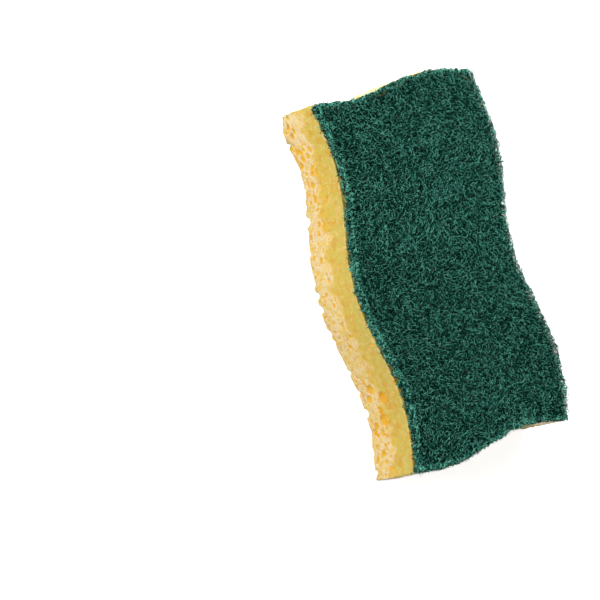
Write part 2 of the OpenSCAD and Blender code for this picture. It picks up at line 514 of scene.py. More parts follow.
@dataclass
class CelluloseBlock:
    """The cellulose block: dense and wet under the pad, pale and open-pored towards the underside.

    The fields are lengths in metres, but for the lean, which is a share, the crease, which is an angle in
    degrees, and the seed.
    """

    outline: Outline
    thickness: float
    cell: float = 0.47 * MM
    bottom_round: float = 0.7 * MM
    pore_band: float = 9.4 * MM
    deepest: float = 3.0 * MM
    # Depth into a pore at which its painted light is full
    painted_light_depth: float = 0.25 * MM
    thin_part: float = 1.5 * MM
    thin_place: float = 22 * MM
    thin_half: float = 9 * MM
    worn_corner: float = 4.3 * MM
    corner_reach: float = 4.6 * MM
    dent_size: float = 7 * MM
    dent_depth: float = 1.2 * MM
    end_climb: float = 3.2 * MM
    end_reach: float = 13 * MM
    lean: float = 0.8
    lean_span: float = 2.2 * MM
    crease: float = 48
    seed: int = 11

    def rows(self) -> tuple[np.ndarray, np.ndarray]:
        """Works out the wall's rows: a quarter circle at the bottom, then even steps.

        Returns:
            The setback and the height of each row.
        """
        low_in = self.bottom_round * (1 - np.sin(ROUND_ANGLES))
        low_up = self.bottom_round * (1 - np.cos(ROUND_ANGLES))
        steps = round((self.thickness - self.bottom_round) / self.cell)
        up = np.linspace(self.bottom_round, self.thickness, steps + 1)
        return np.concatenate([low_in, np.zeros(len(up))]), np.concatenate([low_up, up])

    def edge_bubbles(self, rng: np.random.Generator, count: int, radius: tuple[float, float],
                     band: tuple[float, float], stretch: float, sink: float) -> Bubbles:
        """Bubbles that the wall cuts, drawn out along it.

        Args:
            rng: source of the random draws.
            count: how many.
            radius: smallest and largest radius, the small ones the commoner.
            band: lowest and highest height.
            stretch: the most that one is drawn out along the wall.
            sink: how far the centre lies behind the wall, in radii, at the most.

        Returns:
            The bubbles.
        """
        walked = rng.uniform(0, self.outline.girth(), count)
        place, heading, outward = self.outline.stand(walked, 0.5 * MM)
        size = mostly_small(rng, count, radius)
        # How far each reaches along the wall, into it and up, as a share of its size
        shares = ((1, stretch), (0.6, 0.95), (0.65, 1.0))
        radii = size[:, None] * np.column_stack([rng.uniform(*limits, count) for limits in shares])
        plan = place - outward * (size * rng.uniform(sink - 0.3, sink, count))[:, None]
        return Bubbles.lying(np.column_stack([plan, rng.uniform(*band, count)]), heading, radii)

    def base_bubbles(self, rng: np.random.Generator, count: int, radius: tuple[float, float]) -> Bubbles:
        """Bubbles that the underside cuts.

        Args:
            rng: source of the random draws.
            count: how many.
            radius: smallest and largest radius, the small ones the commoner.

        Returns:
            The bubbles.
        """
        plan = self.outline.sheet(rng.random(count), rng.random(count))
        size = mostly_small(rng, count, radius)
        turn = rng.uniform(0, np.pi, count)
        # How far each reaches along its heading, across it and up, as a share of its size
        shares = ((1, 1.6), (0.8, 1.1), (0.8, 1.3))
        radii = size[:, None] * np.column_stack([rng.uniform(*limits, count) for limits in shares])
        centres = np.column_stack([plan, size * rng.uniform(0, 0.4, count)])
        return Bubbles.lying(centres, np.column_stack([np.cos(turn), np.sin(turn)]), radii)

    def bubbles(self) -> Bubbles:
        """Gathers all the bubbles that show.

        Returns:
            Those of the front wall's own pores, and the random ones that keep clear of them.
        """
        rng = np.random.default_rng(self.seed)
        band = self.pore_band
        placed = self.front_bubbles()
        # The large ones come in clusters with calm stretches between them
        large = self.edge_bubbles(rng, 300, radius=(0.8 * MM, 1.5 * MM), band=(1.2 * MM, band),
                                  stretch=1.7, sink=0.1)
        clusters = plan_noise(large.centres[:, :2], 16 * MM, self.seed + 10) > 0
        random = Bubbles.joined([
            self.edge_bubbles(rng, 900, radius=(0.4 * MM, 0.85 * MM), band=(0.3 * MM, band),
                              stretch=2.2, sink=0.2),
            large.kept(clusters),
            # Nicks in the bottom edge
            self.edge_bubbles(rng, 240, radius=(0.6 * MM, 1.8 * MM), band=(-0.3 * MM, 0.5 * MM),
                              stretch=1.3, sink=-0.1),
            # A few just above the band, and a few small ones nearly up to the pad
            self.edge_bubbles(rng, 70, radius=(0.4 * MM, 0.8 * MM), band=(band, band + 2 * MM),
                              stretch=1.8, sink=0.1),
            self.edge_bubbles(rng, 60, radius=(0.3 * MM, 0.45 * MM), band=(band, self.thickness - 1.5 * MM),
                              stretch=1.3, sink=0.2),
            self.base_bubbles(rng, 900, radius=(0.4 * MM, 1.0 * MM)),
            self.base_bubbles(rng, 70, radius=(1.1 * MM, 1.8 * MM)),
        ])
        return Bubbles.joined([placed, random.clear_of(placed)])

    def front_bubbles(self) -> Bubbles:
        """Makes the bubbles of the front wall's own pores and nicks.

        The listed heights are those on the worn block, so the wear w is taken out of them, with t the
        thickness: z' = (z - w) / (1 - w / t).

        Returns:
            The bubbles.
        """
        along, height, radius, stretch = np.array(FRONT_PORES, float).T
        u, v = along * MM / self.outline.length, np.zeros(len(along))
        step = 0.01
        ahead = unit(self.outline.sheet(u + step, v) - self.outline.sheet(u - step, v))
        centres = np.column_stack([self.outline.sheet(u, v), height * MM])
        wear = self.wear(centres)
        raised = height > 0
        centres[:, 2] = np.where(raised, (centres[:, 2] - wear) / (1 - wear / self.thickness), 0)
        # Those more than 2 mm up go less deep into the wall
        into = radius * np.where(height > 2, 0.8, 1)
        return Bubbles.lying(centres, ahead, np.column_stack([radius * stretch, into, radius]) * MM)

    def wear(self, points: np.ndarray) -> np.ndarray:
        """Works out how far the underside lies above the surface that the sponge rests on.

        The block was cut thinner near one end, its front corner there is worn round, and shallow dents run
        all over.

        Args:
            points: places in the uncut sheet.

        Returns:
            One rise for each place.
        """
        corner = self.outline.sheet(np.zeros(1), np.zeros(1))[0]
        gap = np.linalg.norm(points[:, :2] - corner, axis=1)
        thin = np.exp(-((gap - self.thin_place) / self.thin_half) ** 4)
        worn = np.exp(-(gap / self.corner_reach) ** 2)
        dents = np.clip(plan_noise(points[:, :2], self.dent_size, self.seed + 3) - 0.25, 0, 1)
        return self.thin_part * thin + self.worn_corner * worn + self.dent_depth * dents

    def build(self, material: bpy.types.Material) -> bpy.types.Object:
        """Makes the block: the slab's surface, roughened, its rims sharpened and its pores carved.

        Args:
            material: its finish.

        Returns:
            The piece.
        """
        setbacks, heights = self.rows()
        points, outward, faces, wall = SlabGrid(self.outline, self.cell, setbacks, heights).surface()
        normals = self.normals(points, outward, len(heights))
        inward = self.sinking(points, normals, outward, wall)
        bubbles = self.bubbles()
        moved, crest = bubbles.snap_rims(points, normals, 0.45 * self.cell)
        depth = bubbles.carve(moved, inward, self.deepest)
        # The top row and the hub of the fan stay under the pad
        depth[wall - len(outward):wall] = 0
        depth[-1] = 0
        carved = moved + depth[:, None] * inward + self.roughness(points, normals)
        carved[:, 2] += self.wear(points) * np.clip(1 - points[:, 2] / self.thickness, 0, 1)
        # Nothing reaches below the surface that the block lies on
        carved[:, 2] = np.clip(carved[:, 2], 0, self.thickness)
        carved[-1, 2] = self.thickness
        # Painted light: the deeper a vertex lies in a pore, the more of the pores' orange it gets, for light
        # that has gone through the dye
        painted_pore_light = np.clip(depth / self.painted_light_depth, 0, 1)
        piece = make_piece("cellulose_block", carved, faces, pore=painted_pore_light, rim=crest, level=self.level(points))
        piece.data.set_sharp_from_angle(angle=math.radians(self.crease))
        finish_piece(piece, material, Layer.BLOCK)
        return piece

    def normals(self, points: np.ndarray, outward: np.ndarray, rows: int) -> np.ndarray:
        """Works out which way the uncut surface faces: out, down, and at a slant on the rounded edge.

        Args:
            points: its vertices.
            outward: the outward direction in plan of each wall column.
            rows: rows of the wall.

        Returns:
            One unit vector for each vertex.
        """
        slant = np.zeros(rows)
        slant[:len(ROUND_ANGLES)] = np.cos(ROUND_ANGLES)
        flat = np.sqrt(1 - slant ** 2)
        wall = rows * len(outward)
        normals = np.zeros_like(points)
        normals[:, 2] = -1
        normals[:wall, :2] = (flat[:, None, None] * outward[None]).reshape(-1, 2)
        normals[:wall, 2] = np.repeat(-slant, len(outward))
        normals[-1] = (0, 0, 1)
        return normals

    def level(self, points: np.ndarray) -> np.ndarray:
        """Works out the height in the uncut sheet that the two zones follow: z less a climb c.

        The climb is c = 4 c0 (z / t) (1 - z / t) exp(-(d / r)^2), with d the distance to the thin end. It
        lifts the line between the zones there and leaves both faces of the sheet where they are.

        Args:
            points: places in the uncut sheet.

        Returns:
            One level for each place.
        """
        share = points[:, 2] / self.thickness
        gap = np.maximum(points[:, 0] + self.outline.length / 2, 0)
        climb = 4 * self.end_climb * share * (1 - share) * np.exp(-(gap / self.end_reach) ** 2)
        return points[:, 2] - climb

    def sinking(self, points: np.ndarray, normals: np.ndarray, outward: np.ndarray,
                wall: int) -> np.ndarray:
        """Works out which way vertices sink: against the normal, and slanted near the bottom edge.

        The slant is a (1 - d / s), with a the lean, d the distance to the bottom edge and s the lean's span,
        so the two sides of a pore that breaks through the edge meet on one line.

        Args:
            points: vertices of the uncut surface.
            normals: unit normals there.
            outward: the outward direction in plan of each wall column.
            wall: how many of the vertices belong to the wall.

        Returns:
            One unit vector for each vertex.
        """
        span = self.lean_span
        inward = -normals
        inward[:wall, 2] += np.clip(1 - points[:wall, 2] / span, 0, 1) * self.lean
        inner = slice(wall, len(points) - 1)
        rim = points[:len(outward), :2]
        plan = points[inner, :2]
        # In chunks, each against the part of the rim near it, to keep the arrays small
        chunk = 4000
        for start in range(0, len(plan), chunk):
            part = slice(start, start + chunk)
            low, high = plan[part].min(0) - span, plan[part].max(0) + span
            close = np.flatnonzero(((rim > low) & (rim < high)).all(1))
            if len(close):
                gap = np.linalg.norm(plan[part][:, None] - rim[close][None], axis=2)
                nearest = close[gap.argmin(1)]
                share = np.clip(1 - gap.min(1) / span, 0, 1) * self.lean
                inward[inner][part, :2] -= share[:, None] * outward[nearest]
        return unit(inward)

    def roughness(self, points: np.ndarray, normals: np.ndarray) -> np.ndarray:
        """Works out the uneven cut: broad dips and fine grain, stronger in the open-pored band.

        Args:
            points: vertices of the uncut surface.
            normals: unit normals there.

        Returns:
            One move along the normal for each vertex.
        """
        broad = lattice_noise(points, 7 * MM, self.seed) * 0.22 * MM
        fine = lattice_noise(points, 1.3 * MM, self.seed + 1) * 0.14 * MM
        band = np.clip(1.4 - points[:, 2] / self.pore_band, 0.3, 1)
        inwards = 0.12 * MM
        return normals * (broad + fine * band - inwards)[:, None]


@dataclass(frozen=True)
class StrandLayer:
    """One part of the web: how many strands it has, how long and thick they are and between which heights.

    The long strands wander up and down between the two heights. The short ones arch: both ends dive into the
    web, as the parts of a long fibre do between two crossings.
    """

    name: str
    count: int
    length: float
    radius: float
    low: float
    high: float
    tones: tuple[float, float]
    seed: int
    joints: int = 3
    curl: float = 0.24 / MM
    sides: int = 3

    @property
    def rings(self) -> int:
        """Number of cross-sections along one strand."""
        return self.joints + 1

    @property
    def step(self) -> float:
        """Distance between two cross-sections."""
        return self.length / self.joints

    @property
    def arched(self) -> bool:
        """Whether the strands are short enough to arch once."""
        return self.length < 5 * MM

    def random(self) -> np.random.Generator:
        """A new source of random draws for this part."""
        return np.random.default_rng(self.seed)

    def column(self, rng: np.random.Generator, low: float, high: float) -> np.ndarray:
        """One even random number for each strand, as a column."""
        return rng.uniform(low, high, (self.count, 1))

    def bell(self, rng: np.random.Generator, spread: float) -> np.ndarray:
        """One normal random number about zero for each strand, as a column."""
        return rng.normal(0, spread, (self.count, 1))

    def headings(self, rng: np.random.Generator) -> np.ndarray:
        """Works out the headings along each strand.

        They are the running sum of a curvature, made of an even bend and three sines of random phase.

        Args:
            rng: source of the random draws.

        Returns:
            One row of angles for each strand.
        """
        walked = np.arange(self.rings) * self.step
        bend = self.bell(rng, 0.35 * self.curl)
        for wave, weight in CURL_WAVES:
            strength = self.column(rng, 0.3, 1) * weight * self.curl
            bend = bend + strength * np.sin(2 * np.pi * walked / wave + self.column(rng, 0, 2 * np.pi))
        return self.column(rng, 0, 2 * np.pi) + np.cumsum(bend, 1) * self.step

    def rise(self, rng: np.random.Generator) -> np.ndarray:
        """Works out the height along each strand: one arch on a short strand, and a sine on a long one.

        Args:
            rng: source of the random draws.

        Returns:
            One row of heights from 0 to 1 for each strand.
        """
        share = np.linspace(0, 1, self.rings)
        if self.arched:
            return self.column(rng, 0.55, 1) * np.sin(np.pi * share) ** 0.7
        waves = self.length / self.column(rng, 2.4 * MM, 5.5 * MM)
        swing = self.column(rng, 0.25, 0.5)
        return 0.5 + swing * np.sin(2 * np.pi * waves * share + self.column(rng, 0, 2 * np.pi))


def scattered(rng: np.random.Generator, count: int, width: float, depth: float) -> np.ndarray:
    """Places on a rectangle, each at random in a cell of its own, so that they cover it evenly.

    Args:
        rng: source of the random draws.
        count: how many places.
        width: size of the rectangle along x.
        depth: size of the rectangle along y.

    Returns:
        One row of x and y for each place.
    """
    columns = max(round(math.sqrt(count * width / depth)), 1)
    rows = math.ceil(count / columns)
    cell = np.arange(count)
    place = np.stack([cell % columns, cell // columns], -1) + rng.random((count, 2))
    return place / (columns, rows) * (width, depth)


@dataclass
class ScouringWeb:
    """The pad: a non-woven web of curly fibres over a dense core, whose near-black colour is painted shade.

    A path holds x, y and z along its last axis, the places along a strand on the axis before it and the
    strands on the first.
    """

    outline: Outline
    base: float
    thickness: float
    core_under: float = 1.9 * MM
    core_cell: float = 0.9 * MM
    core_setback: float = 2.1 * MM
    edge_bulge: float = 1.8 * MM

    @staticmethod
    def fold(values: np.ndarray, low: np.ndarray | float, high: np.ndarray | float) -> np.ndarray:
        """Reflects values back between two limits, as a triangle wave does."""
        span = high - low
        return low + span - np.abs((values - low) % (2 * span) - span)

    def raggedness(self, plan: np.ndarray) -> np.ndarray:
        """How far the torn edge of the web stands inside the outline, in tufts about 3 mm long."""
        tufts = plan_noise(plan, 2.6 * MM, 81) + 0.5 * plan_noise(plan, 9 * MM, 82)
        return tufts * 0.65 * MM

    def top_paths(self, layer: StrandLayer) -> np.ndarray:
        """Works out strands all over the pad.

        They wander on the flat rectangle that the outline bends, and turn back at its edge.

        Args:
            layer: the part of the web that they make up.

        Returns:
            Their paths.
        """
        rng = layer.random()
        heading = layer.headings(rng)
        size = np.array([self.outline.length, self.outline.width])
        walk = np.cumsum(np.stack([np.cos(heading), np.sin(heading)], -1), 1) * layer.step
        plan = scattered(rng, layer.count, *size)[:, None] + walk - walk.mean(1, keepdims=True)
        # A strand that starts where the edge is torn turns back sooner
        torn = np.clip(self.raggedness(self.outline.sheet(*(plan[:, 0] / size).T)), 0, None)[:, None]
        margin = layer.column(rng, -0.2 * MM, 0.8 * MM) + 1.5 * torn
        u, v = (self.fold(plan[..., k], margin, size[k] - margin) / size[k] for k in (0, 1))
        height = layer.low + (layer.high - layer.low) * layer.rise(rng)
        places = self.outline.sheet(u, v)
        swell = plan_noise(places, 9 * MM, 70) * 0.18 * MM
        return np.concatenate([places, (self.base + height + swell)[..., None]], -1)

    def edge_paths(self, layer: StrandLayer) -> np.ndarray:
        """Works out strands on the pad's torn edge, where an arch bulges outwards instead of up.

        Args:
            layer: the part of the web that they make up.

        Returns:
            Their paths.
        """
        rng = layer.random()
        heading = layer.headings(rng)
        start = scattered(rng, layer.count, self.outline.girth(), layer.high - layer.low)[:, None]
        along = start[..., 0] + np.cumsum(np.cos(heading), 1) * layer.step
        up = layer.low + start[..., 1] + np.cumsum(np.sin(heading), 1) * layer.step
        up = self.fold(up, layer.low, layer.high)
        setback = self.edge_bulge * (1 - layer.rise(rng)) + layer.column(rng, -0.1 * MM, 0.3 * MM)
        u, v = self.outline.around(along)
        places = self.outline.sheet(u, v, setback + self.raggedness(self.outline.sheet(u, v)))
        return np.concatenate([places, (self.base + up)[..., None]], -1)

    def stub_paths(self, layer: StrandLayer) -> np.ndarray:
        """Works out short cut ends that stand out of the pad's edge, in loose tufts.

        An end starts inside the edge, leaves it at a random slant and bends evenly on its way.

        Args:
            layer: the part of the web that they make up.

        Returns:
            Their paths.
        """
        rng = layer.random()
        tufts = rng.uniform(0, self.outline.girth(), layer.count // 6)
        walked = tufts[rng.integers(0, len(tufts), layer.count)] + rng.normal(0, 1.4 * MM, layer.count)
        start, ahead, outward = self.outline.stand(walked, 0.4 * MM)
        slant = layer.bell(rng, 0.75) + np.linspace(0, 1, layer.rings) * layer.bell(rng, 1.2)
        step = layer.column(rng, 0.5, 1) * layer.step
        out = np.cumsum(np.cos(slant) * step, 1) - layer.column(rng, 0.8 * MM, 1.6 * MM)
        out -= self.raggedness(start)[:, None]
        out = np.minimum(out, layer.column(rng, 0.0, 0.45 * MM))
        side = np.cumsum(np.sin(slant) * step, 1)
        plan = start[:, None] + out[..., None] * outward[:, None] + side[..., None] * ahead[:, None]
        rise = layer.column(rng, layer.low, layer.high)
        rise = rise + np.cumsum(layer.bell(rng, 0.3) * step * np.ones(layer.rings), 1)
        # An end hangs below the bonded face only where it stands clear of the block
        clear = 0.1 * MM
        rise = np.where(out > clear, rise, np.maximum(rise, clear))
        return np.concatenate([plan, (self.base + rise)[..., None]], -1)

    def tubes(self, layer: StrandLayer, paths: np.ndarray, material: bpy.types.Material) -> bpy.types.Object:
        """Sweeps a small polygon along each path and closes both ends.

        A ring's corner lies at path + r (cos a S + sin a U), with S level and square to the path and U square
        to both. The attribute shade is one random number for each strand, drawn from the layer's tones: the
        deeper layers' darker tones and the upper one's lighter tones are painted shade and light.

        Args:
            layer: the part of the web that the strands make up.
            paths: their paths.
            material: their finish.

        Returns:
            The piece.
        """
        rng = np.random.default_rng(layer.seed + 500)
        count, rings = paths.shape[:2]
        sides = layer.sides
        ahead = unit(np.gradient(paths, axis=1))
        across = unit(np.cross(ahead, (0.0, 0.0, 1.0)))
        up = np.cross(across, ahead)
        # Strands differ in thickness and taper at both ends
        radius = layer.radius * rng.uniform(0.75, 1.25, (count, 1)) * np.ones(rings)
        radius[:, [0, -1]] *= 0.55
        angle = np.pi / 2 + 2 * np.pi * np.arange(sides) / sides
        ring = np.cos(angle)[:, None] * across[:, :, None] + np.sin(angle)[:, None] * up[:, :, None]
        points = paths[:, :, None] + radius[:, :, None, None] * ring
        first = (np.arange(count) * rings * sides)[:, None, None]
        k = (np.arange(rings - 1) * sides)[None, :, None]
        a = np.arange(sides)[None, None]
        b = (a + 1) % sides
        quads = np.stack([first + k + a, first + k + b, first + k + sides + b, first + k + sides + a], -1)
        start = first[:, :, 0] + np.arange(sides)[None]
        end = start + (rings - 1) * sides
        faces = [quads.reshape(-1, 4), start[:, ::-1], end]
        low, high = layer.tones
        # The power makes the darker strands the commoner
        shade = np.repeat(low + (high - low) * rng.random(count) ** 1.3, rings * sides)
        piece = make_piece(layer.name, points.reshape(-1, 3), faces, shade=shade)
        finish_piece(piece, material, Layer.PAD)
        return piece

    def build_core(self, material: bpy.types.Material) -> bpy.types.Object:
        """Makes the core, a slab with a knobbly top that the strands lie on and run into, dark with painted
        shade.

        Args:
            material: its finish.

        Returns:
            The piece.
        """
        height = self.thickness - self.core_under
        levels = np.array([height, height * 0.7, height * 0.35, 0.02 * MM])
        rows = len(levels)
        grid = SlabGrid(self.outline, self.core_cell, np.full(rows, self.core_setback), self.base + levels)
        points, outward, faces, wall = grid.surface()
        knobs = lattice_noise(points, 1.6 * MM, 31) * 0.30 * MM + lattice_noise(points, 5 * MM, 32) * 0.2 * MM
        top = points[:, 2] > self.base + 0.9 * height
        points[:, 2] += np.where(top, knobs, 0)
        # The rim wanders by less than one cell, so it stays clear of the first row of inner vertices
        wander = plan_noise(points[:wall, :2], 5 * MM, 33) * 0.7 * MM
        points[:wall, :2] += np.tile(outward, (rows, 1)) * wander[:, None]
        between = slice(len(outward), wall - len(outward))
        points[between, :2] += np.tile(outward, (rows - 2, 1)) * knobs[between, None]
        piece = make_piece("web_core", points, faces)
        finish_piece(piece, material, Layer.PAD)
        return piece

    def build(self, fibre: bpy.types.Material, core_shade: bpy.types.Material) -> None:
        """Makes the core, the parts of the web and the cut ends at the edge.

        Args:
            fibre: finish of the strands.
            core_shade: finish of the core, dark with painted shade.
        """
        top = self.thickness
        self.build_core(core_shade)
        # The deeper layers take darker tones and the upper one lighter: painted shade and light by depth in
        # the web
        # Each layer's name, count, length, radius, lowest and highest place, tones, seed and joints
        parts = (
            StrandLayer("web_lower", 600, 14 * MM, 0.13 * MM, top - 2.3 * MM, top - 1.3 * MM,
                        tones=(0, 0.15), seed=41, joints=18),
            StrandLayer("web_long", 420, 9 * MM, 0.08 * MM, top - 1.3 * MM, top - 0.1 * MM,
                        tones=(0.2, 0.8), seed=46, joints=12),
            StrandLayer("web_middle", 8000, 2.2 * MM, 0.10 * MM, top - 2.3 * MM, top - 0.9 * MM,
                        tones=(0, 0.18), seed=42),
            StrandLayer("web_inner", 8000, 2.1 * MM, 0.09 * MM, top - 1.9 * MM, top - 0.55 * MM,
                        tones=(0, 0.5), seed=47),
            StrandLayer("web_upper", 14000, 2.2 * MM, 0.062 * MM, top - 1.1 * MM, top - 0.1 * MM,
                        tones=(0.4, 1.3), seed=45, joints=2))
        for layer in parts:
            self.tubes(layer, self.top_paths(layer), fibre)
        edge = StrandLayer("web_edge", 3600, 2.2 * MM, 0.12 * MM, 0.05 * MM, top - 0.4 * MM,
                           tones=(0.2, 1.2), seed=43)
        self.tubes(edge, self.edge_paths(edge), fibre)
        ends = StrandLayer("web_ends", 2600, 1.8 * MM, 0.12 * MM, -0.5 * MM, top - 0.4 * MM,
                           tones=(0.2, 1.1), seed=44)
        self.tubes(ends, self.stub_paths(ends), fibre)


@dataclass(frozen=True)
class NodeBuilder:
    """Adds nodes to one tree. Most of its methods return the output socket that other nodes take."""

    tree: bpy.types.NodeTree

    def add(self, kind: str, inputs: dict | None = None, **settings: str) -> bpy.types.Node:
        """Adds a node with its settings, its values and its links.

        Args:
            kind: the node's type name, without ShaderNode.
            inputs: socket names or numbers, each with a value or with the output socket that feeds it.
            settings: the node's own properties.

        Returns:
            The node.
        """
        node = self.tree.nodes.new("ShaderNode" + kind)
        for key, value in settings.items():
            setattr(node, key, value)
        for key, value in (inputs or {}).items():
            if isinstance(value, Socket):
                self.tree.links.new(value, node.inputs[key])
            else:
                node.inputs[key].default_value = value
        return node

    def place(self) -> Socket:
        """Object coordinates."""
        return self.add("TexCoord").outputs["Object"]

    def attribute(self, name: str) -> Socket:
        """Values of a point attribute of the mesh."""
        return self.add("Attribute", attribute_name=name).outputs["Fac"]

    def noise(self, place: Socket, size: float, detail: float = 0.0) -> Socket:
        """A noise texture whose cells have this size in metres."""
        return self.add("TexNoise", {"Vector": place, "Scale": 1 / size, "Detail": detail}).outputs["Fac"]

    def cells(self, place: Socket, size: float) -> bpy.types.Node:
        """A Voronoi texture whose cells have this size in metres."""
        return self.add("TexVoronoi", {"Vector": place, "Scale": 1 / size})

    def math(self, operation: str, *values: Socket | float) -> Socket:
        """Result of a Math node on two or three numbers."""
        return self.add("Math", dict(enumerate(values)), operation=operation).outputs[0]

    def ramp(self, value: Socket, start: float, end: float, low: float = 0.0, high: float = 1.0,
             shape: str = "LINEAR") -> Socket:
        """Maps a value from one range to another and holds it at both ends.

        Args:
            value: the value.
            start: where the result is low.
            end: where the result is high.
            low: the result at the start.
            high: the result at the end.
            shape: the interpolation between them.

        Returns:
            The result.
        """
        limits = {"Value": value, "From Min": start, "From Max": end, "To Min": low, "To Max": high}
        return self.add("MapRange", limits, interpolation_type=shape).outputs[0]

    def blend(self, factor: Socket, first: Socket | str, second: Socket | str) -> Socket:
        """Mixes two colours.

        Args:
            factor: 0 for the first colour and 1 for the second.
            first: a socket, or a colour such as "#F2D16B".
            second: another.

        Returns:
            The mixed colour.
        """
        one, other = (linear(colour) if isinstance(colour, str) else colour for colour in (first, second))
        node = self.add("Mix", {"Factor": factor, MIX_FIRST: one, MIX_SECOND: other}, data_type="RGBA")
        return node.outputs[MIX_RESULT]

    def bump(self, height: Socket, strength: float, distance: float) -> Socket:
        """Normals tilted by the slope of a height."""
        inputs = {"Height": height, "Strength": strength, "Distance": distance}
        return self.add("Bump", inputs).outputs["Normal"]

    def surface(self, inputs: dict) -> None:
        """Ends the tree in a principled shader with these inputs."""
        shader = self.add("BsdfPrincipled", inputs)
        self.add("OutputMaterial", {"Surface": shader.outputs[0]})


def new_material(name: str) -> tuple[bpy.types.Material, NodeBuilder]:
    """Makes an empty node material.

    Args:
        name: its name.

    Returns:
        The material and the builder of its nodes.
    """
    material = bpy.data.materials.new(name)
    material.use_nodes = True
    material.node_tree.nodes.clear()
    return material, NodeBuilder(material.node_tree)


@dataclass(frozen=True)
class DampCellulose:
    """Regenerated cellulose foam, cast round salt grains, dyed yellow and sold damp.

    The open-pored part has dried to a pale cream with whitish rims and looks orange inside its pores, where
    light has gone through the dye. The dense part is wet, so it is clear, deep yellow and a little glossy.
    """

    band: float
    top: float
    waver: float = 9 * MM
    zone_blur: float = 2.0 * MM
    cream: str = "#EAD3A0"
    cream_shade: str = "#E8C766"
    rim: str = "#EDDDB8"
    # Orange painted inside the pores and pinholes: painted light, for light that has gone through the dye
    pore: str = "#EBB010"
    pore_light: str = "#E8BE42"
    wet_low: str = "#DCBC46"
    wet_high: str = "#C8B653"
    wet_spot: str = "#D6A63A"
    wet_pale: str = "#EAD68E"
    glue_line: str = "#EBCF7E"
    # White of the painted glints on the wet zone
    painted_glint: str = "#FFF8E0"

    def wetness(self, nodes: NodeBuilder, place: Socket, level: Socket) -> Socket:
        """Works out where the foam is wet: above a line that wavers about the top of the band.

        The noise averages a half, so that times twice the waver adds one waver on average.

        Args:
            nodes: the builder.
            place: object coordinates.
            level: the level in the uncut sheet.

        Returns:
            0 in the dry zone and 1 in the wet one.
        """
        shifted = nodes.math("MULTIPLY_ADD", nodes.noise(place, 6 * MM, 3.0), 2 * self.waver, level)
        line = self.band + self.waver
        return nodes.ramp(shifted, line - self.zone_blur, line + self.zone_blur, shape="SMOOTHSTEP")

    def pinholes(self, nodes: NodeBuilder, place: Socket) -> Socket:
        """Works out holes over 1 mm apart, in a third of the cells, too small to be cut into the mesh.

        Args:
            nodes: the builder.
            place: object coordinates.

        Returns:
            1 in a hole and 0 elsewhere.
        """
        cells = nodes.cells(place, 1.4 * MM)
        hole = nodes.ramp(cells.outputs["Distance"], 0.4, 0.2)
        picked = nodes.add("SeparateXYZ", {0: cells.outputs["Color"]}).outputs["X"]
        return nodes.math("MULTIPLY", hole, nodes.math("GREATER_THAN", picked, 0.65))

    def wet_colour(self, nodes: NodeBuilder, place: Socket, level: Socket, patch: Socket,
                   patches: Socket) -> Socket:
        """Works out the wet zone: it fades upwards, with spots, pale mottles, painted glints and a glue line.

        Args:
            nodes: the builder.
            place: object coordinates.
            level: the level in the uncut sheet.
            patch: the noise of the patches.
            patches: the same noise, sharpened.

        Returns:
            The colour.
        """
        colour = nodes.blend(nodes.ramp(level, self.band, self.top), self.wet_low, self.wet_high)
        spots = nodes.ramp(nodes.noise(place, 2.6 * MM, 1.0), 0.48, 0.68)
        colour = nodes.blend(spots, colour, self.wet_spot)
        colour = nodes.blend(nodes.ramp(patch, 0.48, 0.7, high=0.35), colour, self.wet_pale)
        # Painted glints: tiny white dots that stand for light caught by the wet surface
        glint_cells = nodes.cells(place, 2.3 * MM).outputs["Distance"]
        colour = nodes.blend(nodes.ramp(glint_cells, 0.09, 0.05), colour, self.painted_glint)
        near_pad = nodes.ramp(level, self.top - 0.9 * MM, self.top - 0.1 * MM)
        return nodes.blend(nodes.math("MULTIPLY", near_pad, patches), colour, self.glue_line)

    def build(self) -> bpy.types.Material:
        """Makes the material: two zones by level, with pores whose orange is painted light, spots, painted
        glints and grain.

        Returns:
            The material.
        """
        material, nodes = new_material("damp_cellulose")
        place = nodes.place()
        level = nodes.attribute("level")
        wetness = self.wetness(nodes, place, level)
        grain = nodes.noise(place, 0.7 * MM, 2.0)
        patch = nodes.noise(place, 2.2 * MM, 2.0)
        patches = nodes.ramp(patch, 0.43, 0.64)
        pinhole = self.pinholes(nodes, place)

        dry = nodes.blend(patches, self.cream, self.cream_shade)
        # Pinholes get the same painted orange as the carved pores
        dry = nodes.blend(pinhole, dry, self.pore)
        wet = self.wet_colour(nodes, place, level, patch, patches)
        colour = nodes.blend(wetness, dry, wet)
        pale = nodes.math("MULTIPLY", nodes.attribute("rim"), nodes.math("SUBTRACT", 1.0, wetness))
        colour = nodes.blend(pale, colour, self.rim)
        # Painted light: the pore attribute brings in the orange, and more of it the deeper inside a pore
        inside = nodes.blend(patches, self.pore, self.pore_light)
        colour = nodes.blend(nodes.attribute("pore"), colour, inside)
        tone = nodes.ramp(grain, 0.3, 0.7, 0.9, 1.06)
        colour = nodes.add("VectorMath", {0: colour, "Scale": tone}, operation="SCALE").outputs[0]

        bumps = nodes.math("MULTIPLY_ADD", pinhole, -0.9, grain)
        nodes.surface({
            "Base Color": colour, "Roughness": nodes.ramp(wetness, 0.0, 1.0, 0.75, 0.42), "IOR": 1.4,
            "Normal": nodes.bump(bumps, 0.6, 0.25 * MM), "Subsurface Weight": 0.7,
            "Subsurface Radius": (1.0, 0.7, 0.25), "Subsurface Scale": 0.9 * MM})
        return material


